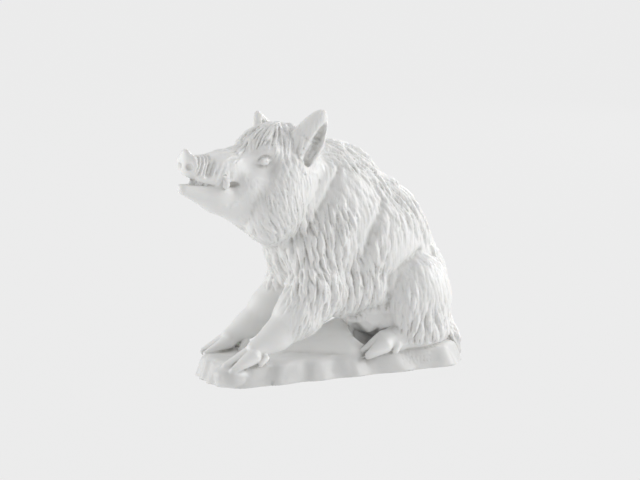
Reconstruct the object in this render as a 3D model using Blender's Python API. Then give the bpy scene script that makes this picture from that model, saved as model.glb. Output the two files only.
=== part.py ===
"""Porcelain figurine of a wild boar sitting on its haunches on a low rocky plinth.

The boar faces -X, its left side faces -Y, and the plinth stands on Z = 0 with the
origin at the centre of its underside. Figure and plinth are one casting, so they
are one solid. The form is a sum of named masses and limbs that melt into each
other; large locks of fur are then raised on it along the way the coat grows.
"""
import math

import bmesh
import bpy
import numpy as np
from mathutils import Matrix, Vector

# Plinth, in metres
PLINTH_LENGTH = 0.163
PLINTH_WIDTH = 0.058
PLINTH_HEIGHT = 0.0125
PLINTH_CORNER_RADIUS = 0.022
PLINTH_EDGE_RADIUS = 0.0035
PLINTH_BATTER = 0.0045
SCALLOP_DEPTH = 0.0012
SCALLOP_LENGTH = 0.021

# Figure, from the plinth's top to the ear tip, in metres
FIGURE_HEIGHT = 0.143

# Pose and proportions are written in parts of the figure's height
HEIGHT_PARTS = 143.0
UNIT = FIGURE_HEIGHT / HEIGHT_PARTS

# The head turns a little towards the boar's left, and the snout's disc a little more
HEAD_PIVOT = np.array((-32.0, -2.0, 0.0))
HEAD_TURN = math.radians(14)
DISC_TURN = math.radians(28)
JOWL_PITCH = -34

# Rocky hill under the belly: its top, its length ahead of and behind it, and half its width
HILL_TOP = (4.6, 0.0, 18.5)
HILL_FRONT = 31.0
HILL_BACK = 29.0
HILL_HALF_WIDTH = 16.0

# Casting grain, in metres, and the number of triangles of the finished solid
GRAIN = 0.0014
TRIANGLES = 9400
LOCK_SEED = 7


def unit_vector(vector):
    """Vector of length one."""
    vector = np.asarray(vector, dtype=float)
    return vector / np.linalg.norm(vector)


def head_axes(turn):
    """Forward, left and up of a head turned towards the boar's left."""
    return np.array((
        (-math.cos(turn), -math.sin(turn), 0.0),
        (math.sin(turn), -math.cos(turn), 0.0),
        (0.0, 0.0, 1.0),
    ))


HEAD_AXES = head_axes(HEAD_TURN)
DISC_AXES = head_axes(DISC_TURN)


def on_head(forward, left, up):
    """Place on the head: forward along the snout, to the boar's left, and up."""
    return HEAD_PIVOT + np.array((forward, left, up)) @ HEAD_AXES


def pitched(degrees):
    """Axes of a mass that is tipped nose down by so many degrees."""
    tip = math.radians(degrees)
    return np.array((
        (math.cos(tip), 0.0, -math.sin(tip)),
        (0.0, 1.0, 0.0),
        (math.sin(tip), 0.0, math.cos(tip)),
    ))


def leaf_axes(along, across):
    """Axes of a flat leaf from the way it points and the way it is broad."""
    along = unit_vector(along)
    across = unit_vector(across - along * np.dot(across, along))
    return np.array((along, across, np.cross(along, across)))


class Mass:
    """Egg-shaped mass with its own half-sizes and axes; taper narrows it along its first axis."""

    def __init__(self, centre, radii, axes=None, blend=5.0, taper=0.0):
        self.centre = np.asarray(centre, dtype=float)
        self.radii = np.asarray(radii, dtype=float)
        self.axes = np.eye(3) if axes is None else axes
        self.blend = blend
        self.taper = taper
        self.middle = self.centre
        self.reach = self.radii.max()

    def distance(self, points):
        local = (points - self.centre) @ self.axes.T
        share = np.clip(local[:, 0] / self.radii[0], -1.0, 1.0)
        local[:, 1] /= 1.0 - self.taper * share
        outer = np.linalg.norm(local / self.radii, axis=1)
        inner = np.linalg.norm(local / self.radii ** 2, axis=1) + 1e-9
        return outer * (outer - 1.0) / inner

    def add_to(self, rough):
        turn = Matrix(self.axes.T.tolist()).to_4x4()
        size = Matrix.Diagonal(Vector(self.radii.tolist())).to_4x4()
        place = Matrix.Translation(Vector(self.centre.tolist()))
        bmesh.ops.create_icosphere(rough, subdivisions=3, radius=1.0, matrix=place @ turn @ size)


class Limb:
    """Round limb that tapers from one radius to another; flat is its width over its depth."""

    def __init__(self, start, end, start_radius, end_radius, flat=1.0, blend=5.0):
        self.start = np.asarray(start, dtype=float)
        self.end = np.asarray(end, dtype=float)
        self.start_radius = start_radius
        self.end_radius = end_radius
        self.flat = flat
        self.blend = blend
        self.middle = (self.start + self.end) / 2
        self.reach = np.linalg.norm(self.end - self.start) / 2 + max(start_radius, end_radius)
        self.reach *= max(1.0, flat)

    def distance(self, points):
        squash = np.array((1.0, 1.0 / self.flat, 1.0))
        start = self.start * squash
        span = self.end * squash - start
        offset = points * squash - start
        share = np.clip(offset @ span / (span @ span), 0.0, 1.0)
        radius = self.start_radius + share * (self.end_radius - self.start_radius)
        gap = np.linalg.norm(offset - share[:, None] * span, axis=1) - radius
        return gap * min(1.0, self.flat)

    def add_to(self, rough):
        steps = 7
        for share in np.linspace(0.0, 1.0, steps):
            radius = self.start_radius + share * (self.end_radius - self.start_radius)
            centre = self.start + share * (self.end - self.start)
            Mass(centre, (radius, radius * self.flat, radius)).add_to(rough)


def chain(places, radii, flat=1.0, blend=5.0):
    """Limbs joined end to end through the given places."""
    spans = zip(places[:-1], places[1:], radii[:-1], radii[1:])
    return [Limb(a, b, ra, rb, flat, blend) for a, b, ra, rb in spans]


def trunk():
    """Deep barrel leaning back from the withers down to the rump."""
    spine = [(2, 0, 82), (24, 0, 61), (45, 0, 38)]
    return chain(spine, (34.5, 36, 28.5), flat=0.73) + [
        Mass((-2, 0, 97.5), (26, 19, 25.5), blend=7),
        Mass((-20, -1, 100), (27, 17, 25), blend=7),
        Mass((-8, 0, 70), (34, 22, 37), blend=6),
        Mass((45, 0, 28), (27, 24, 33), blend=6),
        Mass((18, 0, 42), (22, 20, 16), pitched(20), blend=6),
        Mass((26, 0, 27), (23, 17, 19), blend=4),
    ]


def haunch(side):
    """Thigh folded against the flank, and the loose skin of the belly before it, on one side."""
    return [
        Mass((16, 17.5 * side, 36), (18, 8.5, 13.5), blend=3),
        Mass((49, 18 * side, 28), (20.5, 14, 28), pitched(-6), blend=1.6),
        Mass((42, 20 * side, 26), (13, 11, 18), blend=3),
        Mass((50, 21 * side, 10), (17, 10, 10), blend=3),
    ]


def shoulder(side):
    """Shoulder blade and upper arm, on one side."""
    return [
        Mass((-15, 15 * side, 56), (16, 11, 24), pitched(-12), blend=5),
        Mass((-3, 15.5 * side, 66), (16, 11.5, 31), pitched(24), blend=1.6),
        Mass((-17, 16 * side, 38), (14, 10, 15), blend=5),
        Mass((0, 15 * side, 35), (15, 9, 13), pitched(14), blend=5),
    ]


def folds(side):
    """Creases behind the jowl, behind the shoulder and before the thigh, on one side."""
    def crease(places, radii, blend):
        return chain([(along, out * side, up) for along, out, up in places], radii, blend=blend)
    jowl = crease([(-41, 17, 60), (-33, 24, 68), (-22.5, 27, 76.5), (-14.5, 27.5, 90),
                   (-8, 26, 101), (-3, 23, 110)], (2.0, 4.2, 6.0, 6.2, 5.6, 2.4), 3)
    blade = crease([(24, 25, 90), (15, 27.5, 72), (8.5, 28.5, 56), (10, 28, 42)],
                   (2.0, 3.4, 3.8, 2.4), 3)
    thigh = crease([(48, 25, 58), (37, 28, 51), (27.5, 29, 44), (26.4, 29.5, 33),
                    (27.5, 30.5, 20)], (3.0, 4.0, 5.0, 4.0, 3.0), 2)
    return jowl + blade + thigh + [Mass((50, 27 * side, 57), (8, 4.4, 5), blend=3)]


def cloven_foot(heel, tips, heel_radius, tip_radius):
    """Two hooves side by side, from the heel to each tip."""
    return [Limb(heel_place, tip, heel_radius, tip_radius, blend=1.2)
            for heel_place, tip in zip(heel, tips)]


def near_foreleg():
    """Foreleg on the boar's left, stretched forward to the plinth's edge."""
    places = [(-17, -17, 38.5), (-30, -19, 25.6), (-43.8, -20.5, 14.6), (-57, -21.5, 8.2)]
    toes = cloven_foot([(-60, -19.6, 5.8), (-60, -24.6, 5.0)],
                       [(-75.5, -20.2, 0.2), (-73.5, -26.8, -1.4)], 4.5, 2.0)
    claws = [Limb((-53, -25.5, 3.6), (-56.5, -27.2, 0.8), 2.4, 1.5, blend=1.0),
             Limb((-51, -17, 4), (-54, -16, 0.8), 2.4, 1.4, blend=1.0)]
    return chain(places, (16, 13.2, 8.2, 5.8), flat=0.85, blend=4) + toes + claws


def far_foreleg():
    """Foreleg on the boar's right, set a little behind the other."""
    places = [(-19, 16, 36), (-33, 17, 25), (-45.5, 18, 13.5), (-56, 18.5, 7.4)]
    toes = cloven_foot([(-59, 16, 5.2), (-59, 21, 5.2)],
                       [(-73, 15, -0.2), (-72, 22.5, -0.2)], 4.2, 1.7)
    claws = [Limb((-48, 14, 4.5), (-52, 12.6, 0.8), 2.4, 1.4, blend=1.0),
             Limb((-48, 22, 4.5), (-52, 23.4, 0.8), 2.4, 1.4, blend=1.0)]
    return chain(places, (12.5, 9.5, 7.2, 5.6), flat=0.9, blend=4) + toes + claws


def hind_foot(side, forward):
    """Hind shank lying on the ground with the hoof ahead of the belly."""
    def place(along, out, up):
        return (along - forward, out * side, up)
    shank = chain([place(48, 19, 8), place(34, 21, 6.4), place(25.5, 23, 5.6)],
                  (8.5, 6.4, 5.8), blend=2)
    toes = cloven_foot([place(22.5, 20.6, 4.6), place(23, 25.6, 4.4)],
                       [place(12, 20.4, 0), place(12, 26.8, -0.8)], 4.8, 2.0)
    claws = [Limb(place(31, 26.6, 4.4), place(28, 28.6, 0), 3.4, 2.0, blend=0.8)]
    return shank + toes + claws


def tail():
    """Short tail laid down over the plinth's end, with a tuft."""
    places = [(69, 0, 20), (73.5, -3, 9), (77, -6, 0), (79.5, -8, -8)]
    return chain(places, (4.5, 4.6, 4.4, 2.2), blend=2.0)


def boulder():
    """Rounded stone at the plinth's near front corner."""
    return [Mass((-71.5, -19, -6.4), (10.5, 9.6, 6.8), blend=2)]


def skull():
    """Skull, cheeks, muzzle and lower jaw."""
    def mass(centre, radii, blend):
        return Mass(on_head(*centre), radii, HEAD_AXES, blend)
    upper = [on_head(24, 0, 109.5), on_head(45, 0, 112.8), on_head(64.5, 0, 116.2)]
    lower = [on_head(18, 0, 90.5), on_head(48, 0, 98.2), on_head(69.5, 0, 104.2)]
    return [
        mass((5, 0, 112), (27, 18.5, 25), 6),
        mass((2, 0, 93), (29, 20.5, 28), 6),
    ] + chain(upper, (15.5, 9.8, 6.4), blend=4) + chain(lower, (17, 9.6, 3.2), blend=3)


def cheeks():
    """Brow, cheek and heavy jowl on both sides of the head; the turned-in side is tucked up."""
    forms = []
    for left, tucked in ((1, 0), (-1, 5)):
        forms.append(Mass(on_head(17, 11 * left, 121.5), (7, 5, 4), HEAD_AXES, blend=3))
        forms.append(Mass(on_head(8.5 - tucked, 9.5 * left, 96.5 + tucked), (19.5, 16.5, 30),
                          pitched(JOWL_PITCH) @ HEAD_AXES, blend=1.6))
        forms.append(Mass(on_head(-4, 11 * left, 110), (15, 11.5, 12), HEAD_AXES, blend=3))
        forms.append(Mass(on_head(27, 11 * left, 103), (12, 6, 8), HEAD_AXES, blend=4))
        forms.append(Limb(on_head(47, 6.5 * left, 107.8), on_head(60, 4.5 * left, 111.0),
                          4.4, 3.2, blend=3))
    return forms


def snout_disc():
    """Flat disc at the end of the snout, turned a little more, with its pointed upper rim."""
    return [Mass(on_head(67.4, 0.4, 118.3), (2.4, 7.7, 6.4), DISC_AXES, blend=1.2),
            Mass(on_head(68.8, 0.8, 122.2), (1.7, 3.6, 4.6), DISC_AXES, blend=1.4)]


def tusks():
    """Short tusk standing up from each side of the lower jaw."""
    return [Limb(on_head(48.4, 10.2 * left, 104.5), on_head(48.2, 11.2 * left, 112.6),
                 1.9, 0.9, blend=0.5) for left in (1, -1)]


# Ear leaves: root, tip and the way each is broad, as places on the figure
NEAR_EAR = (np.array((-30.0, -15.5, 112.0)), np.array((-14.4, -21.5, 143.5)),
            np.array((0.86, -0.22, -0.44)))
FAR_EAR = (np.array((-31.0, 13.0, 111.0)), np.array((-37.5, 20.5, 139.5)),
           np.array((0.96, 0.22, 0.15)))
EAR_TAPER = 0.30


def ear_leaf(ear, half_width, half_depth, shift, shorter, blend=2.2):
    """Pointed leaf along an ear, moved by shift across and out of its plane."""
    root, tip, broad = ear
    axes = leaf_axes(tip - root, broad)
    length = np.linalg.norm(tip - root) / 2
    centre = (root + tip) / 2 + axes[1] * shift[0] + axes[2] * shift[1]
    return Mass(centre, (length * shorter, half_width, half_depth), axes, blend, EAR_TAPER)


def ears():
    """Two pricked ears, the near one larger to the eye."""
    return [ear_leaf(NEAR_EAR, 9.6, 4.4, (0, 0), 1.03),
            ear_leaf(FAR_EAR, 8.4, 4.0, (0, 0), 1.03)]


def ear_hollows():
    """Deep hollow of each ear, opening outward and back."""
    return [ear_leaf(NEAR_EAR, 4.6, 4.8, (3.2, -4.4), 0.80, 1.0),
            ear_leaf(FAR_EAR, 4.6, 4.2, (0.4, -4.2), 0.74, 1.0)]


def eyes():
    """Eyeballs in their sockets."""
    return [Mass(on_head(22.5, 13.6 * left, 116.8), (2.9, 2.6, 2.5), HEAD_AXES, blend=0.6)
            for left in (1, -1)]


def eye_sockets():
    """Shallow dips round the eyes."""
    return [Mass(on_head(24.0, 18.2 * left, 116.6), (6.0, 4.0, 4.4), HEAD_AXES, blend=1.4)
            for left in (1, -1)]


def mouth():
    """Wedge between the lips, open at the front, and the pit at each corner."""
    wedge = Limb(on_head(80, 0, 109.6), on_head(50, 0, 104.6), 3.0, 0.3, flat=9.0, blend=1.0)
    pits = [Mass(on_head(43.0, 11.6 * left, 104.8), (3.0, 3.2, 1.9), HEAD_AXES, blend=1.0)
            for left in (1, -1)]
    return [wedge] + pits


def nostrils():
    """Pits in the disc."""
    forward, leftward, upward = DISC_AXES
    face = on_head(67.4, 0.4, 116.9)
    return [Limb(face + 4.2 * forward + 3.9 * left * leftward,
                 face + 0.6 * forward + 3.7 * left * leftward - 0.4 * upward,
                 1.7, 1.2, blend=0.8) for left in (1, -1)]


def added_forms():
    """Every mass and limb of the figure, in the order in which they melt together."""
    forms = trunk()
    for side in (-1, 1):
        forms += haunch(side) + shoulder(side)
    forms += skull() + cheeks() + near_foreleg() + far_foreleg()
    forms += hind_foot(-1, 0) + hind_foot(1, 4.5)
    return forms + tail() + boulder() + snout_disc() + ears() + tusks()


ADDED = added_forms()
HOLLOWS = folds(1) + folds(-1) + ear_hollows() + nostrils() + eye_sockets() + mouth()
EYES = eyes()


def melt(first, second, blend):
    """Smooth union of two distances."""
    share = np.clip(0.5 + 0.5 * (second - first) / blend, 0.0, 1.0)
    return second + (first - second) * share - blend * share * (1.0 - share)


def hill_height(points):
    """Height of the rocky hill that carries the belly, over the plinth's top."""
    along = points[:, 0] - HILL_TOP[0]
    along = along / np.where(along < 0.0, HILL_FRONT, HILL_BACK)
    across = (points[:, 1] - HILL_TOP[1]) / HILL_HALF_WIDTH
    outward = np.sqrt(along ** 2 + across ** 2 + 0.004)
    return HILL_TOP[2] * np.maximum(1.0 - outward, 0.0)


def plinth_distance(points):
    """Rounded, battered slab with soft scallops round its side."""
    half_length = PLINTH_LENGTH / UNIT / 2
    half_width = PLINTH_WIDTH / UNIT / 2
    corner = PLINTH_CORNER_RADIUS / UNIT
    edge = PLINTH_EDGE_RADIUS / UNIT
    depth = PLINTH_HEIGHT / UNIT
    inside = np.abs(points[:, :2]) - np.array((half_length - corner, half_width - corner))
    plan = (np.linalg.norm(np.maximum(inside, 0.0), axis=1)
            + np.minimum(inside.max(axis=1), 0.0) - corner)
    turn = np.arctan2(points[:, 1] / half_width, points[:, 0] / half_length)
    scallops = round(2 * (PLINTH_LENGTH + PLINTH_WIDTH) / SCALLOP_LENGTH)
    wave = np.cos(turn * scallops + 1.3 * np.sin(3 * turn) + 0.06 * points[:, 2])
    side = plan + (points[:, 2] + depth) / depth * PLINTH_BATTER / UNIT
    side += SCALLOP_DEPTH / UNIT * (0.5 - 0.5 * wave)
    rise = points[:, 2] + 0.5 * np.sin(points[:, 0] / 11.0) * np.cos(points[:, 1] / 9.0)
    rise -= hill_height(points)
    corner_gap = np.maximum(np.stack((side, rise), axis=1) + edge, 0.0)
    return (np.linalg.norm(corner_gap, axis=1)
            + np.minimum(np.maximum(side, rise) + edge, 0.0) - edge)


def close_to(form, points):
    """Indices of the points that a form can reach with its blend."""
    squared = ((points - form.middle) ** 2).sum(axis=1)
    return np.flatnonzero(squared < (form.reach + form.blend + 4.0) ** 2)


def form_distance(points):
    """Signed distance to the whole figurine, in parts of the figure's height."""
    gap = plinth_distance(points)
    for form in ADDED:
        near = close_to(form, points)
        gap[near] = melt(gap[near], form.distance(points[near]), form.blend)
    for hollow in HOLLOWS:
        near = close_to(hollow, points)
        gap[near] = -melt(-gap[near], hollow.distance(points[near]), hollow.blend)
    for eye in EYES:
        near = close_to(eye, points)
        gap[near] = melt(gap[near], eye.distance(points[near]), eye.blend)
    return gap


def form_slope(points):
    """Distance, outward direction and steepness, from four corners round each point."""
    step = 0.25
    gap = np.zeros(len(points))
    slope = np.zeros((len(points), 3))
    for corner in ((1, -1, -1), (-1, -1, 1), (-1, 1, -1), (1, 1, 1)):
        corner = np.array(corner, dtype=float)
        corner_gap = form_distance(points + step * corner)
        gap += corner_gap / 4
        slope += corner * corner_gap[:, None]
    length = np.linalg.norm(slope, axis=1) + 1e-9
    return gap, slope / length[:, None], length / (4 * step)


def settle(points, rounds=3):
    """Move points onto the form; also gives their outward directions."""
    for _ in range(rounds):
        gap, normals, steepness = form_slope(points)
        step = np.clip(gap / np.maximum(steepness, 0.35), -2.0, 2.0)
        points = points - normals * step[:, None]
    return points, normals


# Coat: place on the near side, way the hair grows, height and length of its locks
COAT = [
    ((8, -8, 118), (0.80, -0.25, -0.55), 2.6, 13),
    ((30, -7, 104), (0.66, -0.30, -0.70), 2.6, 14),
    ((50, -7, 84), (0.55, -0.30, -0.78), 2.6, 14),
    ((65, -6, 62), (0.30, -0.20, -0.93), 2.0, 13),
    ((-18, -18, 98), (0.15, -0.30, -0.94), 0.6, 8),
    ((-38, -18, 92), (0.22, -0.25, -0.94), 1.9, 11),
    ((-48, -14, 78), (0.30, -0.20, -0.93), 1.8, 10),
    ((-28, -20, 76), (0.30, -0.10, -0.95), 2.6, 12),
    ((-8, -22, 84), (0.20, -0.15, -0.97), 2.2, 12),
    ((12, -23, 78), (0.16, -0.10, -0.98), 1.3, 11),
    ((30, -24, 66), (0.10, -0.10, -0.99), 0.9, 10),
    ((-36, -10, 52), (0.45, -0.15, -0.88), 2.2, 12),
    ((-20, -24, 56), (0.14, -0.08, -0.99), 2.0, 12),
    ((0, -24, 52), (0.10, -0.05, -0.99), 2.0, 12),
    ((18, -24, 48), (0.08, -0.02, -1.0), 1.9, 13),
    ((14, -20, 32), (0.06, 0.10, -0.99), 2.6, 14),
    ((-10, -22, 34), (-0.10, 0.0, -0.99), 2.2, 11),
    ((-28, -22, 26), (-0.55, 0.0, -0.83), 1.0, 9),
    ((-48, -22, 12), (-0.85, 0.0, -0.52), 0.0, 7),
    ((50, -32, 40), (0.10, -0.05, -0.99), 0.8, 10),
    ((44, -32, 20), (0.00, 0.0, -1.0), 1.6, 12),
    ((62, -26, 14), (0.20, 0.0, -0.97), 1.4, 11),
    ((70, -14, 34), (0.20, -0.10, -0.97), 1.0, 11),
    ((32, -24, 6), (-0.90, 0.0, -0.3), 0.0, 8),
    ((80, -6, -4), (0.20, -0.10, -0.97), 1.4, 8),
]

# Coat of the head, as places on the head
HEAD_COAT = [
    ((14, 5, 136), (0.75, 0.25, -0.60), 2.6, 11),
    ((24, 8, 128), (0.66, 0.25, -0.70), 2.0, 11),
    ((0, 8, 136), (0.20, 0.60, -0.77), 2.2, 10),
    ((24, 15, 117), (0.3, 0.3, -0.90), 0.0, 7),
    ((45, 8, 120), (0.9, 0.1, -0.3), 0.0, 7),
    ((66, 6, 118), (0.9, 0.1, -0.3), 0.0, 7),
    ((66, 4, 104), (-0.9, 0.1, -0.3), 0.0, 7),
    ((45, 9, 101), (-0.75, 0.1, -0.65), 0.0, 8),
    ((22, 16, 98), (-0.45, 0.2, -0.87), 1.5, 10),
    ((-9, 20, 130), (-0.2, 0.2, 0.9), 0.0, 7),
    ((2, 19, 112), (-0.35, 0.2, -0.90), 0.5, 8),
]
BALD_PLINTH = 1.0


def coat_table():
    """Places, directions, heights and lengths of the coat on both sides."""
    rows = []
    for place, way, height, length in COAT:
        for side in (1, -1):
            mirror = np.array((1, side, 1))
            rows.append((np.array(place) * mirror, np.array(way) * mirror, height, length))
    for place, way, height, length in HEAD_COAT:
        for side in (1, -1):
            mirror = np.array((1, side, 1))
            rows.append((on_head(*(np.array(place) * mirror)),
                         (np.array(way) * mirror) @ HEAD_AXES, height, length))
    return [np.array(column, dtype=float) for column in zip(*rows)]


def coat_at(points, normals):
    """Direction, height and length of the coat at each point, blended from the table."""
    places, ways, heights, lengths = coat_table()
    squared = ((points[:, None, :] - places[None, :, :]) ** 2).sum(axis=2)
    weight = 1.0 / (squared + 6.0) ** 2.5
    weight /= weight.sum(axis=1)[:, None]
    way = weight @ ways
    way -= normals * (way * normals).sum(axis=1)[:, None]
    way /= np.linalg.norm(way, axis=1)[:, None] + 1e-9
    bare = np.clip((points[:, 2] - BALD_PLINTH) / 4.0, 0.0, 1.0)
    return way, (weight @ heights) * bare, weight @ lengths


def scattered(points, spacing, rng):
    """Indices of points picked in random order, none nearer another than its spacing."""
    free = np.ones(len(points), dtype=bool)
    picked = []
    for index in rng.permutation(len(points)):
        if free[index]:
            picked.append(index)
            apart = ((points - points[index]) ** 2).sum(axis=1)
            free &= apart > spacing[index] ** 2
    return np.array(picked)


def raise_locks(points, normals):
    """Height of the overlapping locks at each point: each swells to its tip and ends sharply."""
    way, height, length = coat_at(points, normals)
    rng = np.random.default_rng(LOCK_SEED)
    furred = np.flatnonzero(height > 0.45)
    spacing = 0.42 * length[furred]
    roots = furred[scattered(points[furred], spacing, rng)]
    raised = np.zeros(len(points))
    for root in roots:
        reach = length[root] * rng.uniform(0.85, 1.2)
        half = reach * rng.uniform(0.20, 0.28)
        sway = rng.uniform(-0.25, 0.25)
        offset = points - points[root]
        near = np.flatnonzero((offset ** 2).sum(axis=1) < (reach + half) ** 2)
        facing = normals[near] @ normals[root] > 0.2
        near = near[facing]
        across_way = np.cross(normals[root], way[root])
        along = offset[near] @ way[root] / reach
        across = offset[near] @ across_way / half - sway * along * reach / half * 0.5
        taper = np.clip(1.15 - along ** 3, 0.15, 1.0)
        ridge = np.clip(1.0 - (across / taper) ** 2, 0.0, 1.0)
        swell = np.clip(along * 1.6 + 0.25, 0.0, 1.0) * np.clip((1.05 - along) * 7.0, 0.0, 1.0)
        lock = height[root] * rng.uniform(0.8, 1.15) * ridge ** 0.7 * swell
        raised[near] = np.maximum(raised[near], lock)
    return raised - 0.35 * height


def rough_boar():
    """All masses and limbs as overlapping bodies over the plinth's block, still unfused."""
    rough = bmesh.new()
    for form in ADDED:
        form.add_to(rough)
    Mass(HILL_TOP[:2] + (0.0,), (24.0, 12.0, 14.0)).add_to(rough)
    length = PLINTH_LENGTH / UNIT * 0.97
    width = PLINTH_WIDTH / UNIT * 0.88
    depth = PLINTH_HEIGHT / UNIT
    block = Matrix.Diagonal((length, width, 2 * depth, 1.0))
    bmesh.ops.create_cube(rough, size=1.0, matrix=Matrix.Translation((0, 0, -depth)) @ block)
    mesh = bpy.data.meshes.new("rough_boar")
    rough.to_mesh(mesh)
    rough.free()
    return mesh


def evaluated_copy(obj, name):
    """Mesh of an object with its modifiers applied."""
    depsgraph = bpy.context.evaluated_depsgraph_get()
    mesh = bpy.data.meshes.new_from_object(obj.evaluated_get(depsgraph))
    mesh.name = name
    return mesh


def mesh_points(mesh):
    """Vertex places of a mesh as an array."""
    points = np.empty(len(mesh.vertices) * 3)
    mesh.vertices.foreach_get("co", points)
    return points.reshape(-1, 3)


def porcelain():
    """White porcelain under a satin glaze."""
    material = bpy.data.materials.new("white_porcelain")
    material.use_nodes = True
    shader = material.node_tree.nodes["Principled BSDF"]
    shader.inputs["Base Color"].default_value = (0.83, 0.83, 0.82, 1.0)
    shader.inputs["Roughness"].default_value = 0.32
    shader.inputs["Metallic"].default_value = 0.0
    return material


def cut_flat(mesh):
    """Cut the mesh level with the ground and close the underside."""
    shape = bmesh.new()
    shape.from_mesh(mesh)
    everything = shape.verts[:] + shape.edges[:] + shape.faces[:]
    bmesh.ops.bisect_plane(shape, geom=everything, dist=1e-6, plane_co=(0, 0, 0),
                           plane_no=(0, 0, 1), clear_inner=True)
    rim = [edge for edge in shape.edges if edge.is_boundary]
    bmesh.ops.contextual_create(shape, geom=rim)
    bmesh.ops.triangulate(shape, faces=shape.faces[:])
    bmesh.ops.recalc_face_normals(shape, faces=shape.faces[:])
    shape.to_mesh(mesh)
    shape.free()


def build_boar():
    """Fuse the masses, settle them on the form, raise the locks and thin the mesh."""
    boar = bpy.data.objects.new("boar_figurine", rough_boar())
    bpy.context.scene.collection.objects.link(boar)
    fuse = boar.modifiers.new("Fuse", "REMESH")
    fuse.mode = "VOXEL"
    fuse.voxel_size = GRAIN / UNIT
    fused = evaluated_copy(boar, "boar_figurine")
    boar.modifiers.remove(fuse)
    boar.data = fused

    points, normals = settle(mesh_points(fused))
    points += normals * raise_locks(points, normals)[:, None]
    points = points * UNIT + np.array((0.0, 0.0, PLINTH_HEIGHT))
    fused.vertices.foreach_set("co", points.ravel())
    fused.update()

    thin = boar.modifiers.new("Thin", "DECIMATE")
    thin.ratio = TRIANGLES / (2.0 * len(fused.polygons))
    thin.use_collapse_triangulate = True
    thinned = evaluated_copy(boar, "boar_figurine")
    boar.modifiers.remove(thin)
    boar.data = thinned
    cut_flat(thinned)
    thinned.shade_smooth()
    thinned.materials.append(porcelain())
    return boar


for old in list(bpy.data.objects):
    bpy.data.objects.remove(old, do_unlink=True)
build_boar()
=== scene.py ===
import math

import bmesh
import bpy
import numpy as np
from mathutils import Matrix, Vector


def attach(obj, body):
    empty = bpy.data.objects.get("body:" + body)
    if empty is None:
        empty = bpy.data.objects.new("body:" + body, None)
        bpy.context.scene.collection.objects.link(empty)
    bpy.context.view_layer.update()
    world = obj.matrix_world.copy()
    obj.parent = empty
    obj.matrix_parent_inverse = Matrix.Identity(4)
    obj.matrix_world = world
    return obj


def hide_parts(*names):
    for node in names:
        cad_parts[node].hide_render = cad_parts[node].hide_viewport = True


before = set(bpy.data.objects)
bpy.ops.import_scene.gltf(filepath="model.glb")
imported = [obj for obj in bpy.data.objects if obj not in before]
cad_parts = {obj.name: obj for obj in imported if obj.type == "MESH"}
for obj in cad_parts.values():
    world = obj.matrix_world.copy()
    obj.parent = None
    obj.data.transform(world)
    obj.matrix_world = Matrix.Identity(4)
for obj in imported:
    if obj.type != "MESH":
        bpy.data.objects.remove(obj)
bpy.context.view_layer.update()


# The casting's blank
# The boar and its plinth are one hollow slip casting in white porcelain, so the visual model is
# one closed skin too. The blank is the solid's own surface, merged and laid out again in a fine
# even grain for the modelling tool to work on.
CAD_NODE = "boar_figurine"
BLANK_GRAIN = 0.00052

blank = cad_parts[CAD_NODE].copy()
blank.data = blank.data.copy()
blank.name = "boar_casting"
blank.parent = None
blank.matrix_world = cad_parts[CAD_NODE].matrix_world
bpy.context.scene.collection.objects.link(blank)

skin = bmesh.new()
skin.from_mesh(blank.data)
bmesh.ops.remove_doubles(skin, verts=skin.verts[:], dist=1e-6)
skin.to_mesh(blank.data)
skin.free()

grain = blank.modifiers.new("Grain", "REMESH")
grain.mode = "VOXEL"
grain.voxel_size = BLANK_GRAIN


def applied(obj):
    """Replace an object's mesh by the one its modifiers give."""
    depsgraph = bpy.context.evaluated_depsgraph_get()
    mesh = bpy.data.meshes.new_from_object(obj.evaluated_get(depsgraph))
    obj.modifiers.clear()
    obj.data = mesh


applied(blank)


# The trunk
# The barrel of the body leans back from the high withers to the rump. The modeller built it from
# swelling masses that run into each other, so each is an egg with its own size and blend.
# Places are in millimetres from the middle of the plinth's top, at the figure's own height.
PLINTH_LENGTH = 163.0
PLINTH_WIDTH = 58.0
PLINTH_HEIGHT = 12.5
MILLIMETRE = 0.001


def pitched(degrees):
    """Axes of a mass that is tipped nose down by so many degrees."""
    tip = math.radians(degrees)
    return np.array((
        (math.cos(tip), 0.0, -math.sin(tip)),
        (0.0, 1.0, 0.0),
        (math.sin(tip), 0.0, math.cos(tip)),
    ))


class Mass:
    """Egg-shaped mass with its own half-sizes and axes; taper narrows it along its first axis."""

    def __init__(self, centre, radii, axes=None, blend=5.0, taper=0.0):
        self.centre = np.asarray(centre, dtype=float)
        self.radii = np.asarray(radii, dtype=float)
        self.axes = np.eye(3) if axes is None else axes
        self.blend = blend
        self.taper = taper
        self.middle = self.centre
        self.reach = self.radii.max()

    def distance(self, points):
        local = (points - self.centre) @ self.axes.T
        local[:, 1] /= 1.0 - self.taper * np.clip(local[:, 0] / self.radii[0], -1.0, 1.0)
        outer = np.linalg.norm(local / self.radii, axis=1)
        inner = np.linalg.norm(local / self.radii ** 2, axis=1) + 1e-9
        return outer * (outer - 1.0) / inner


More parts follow.
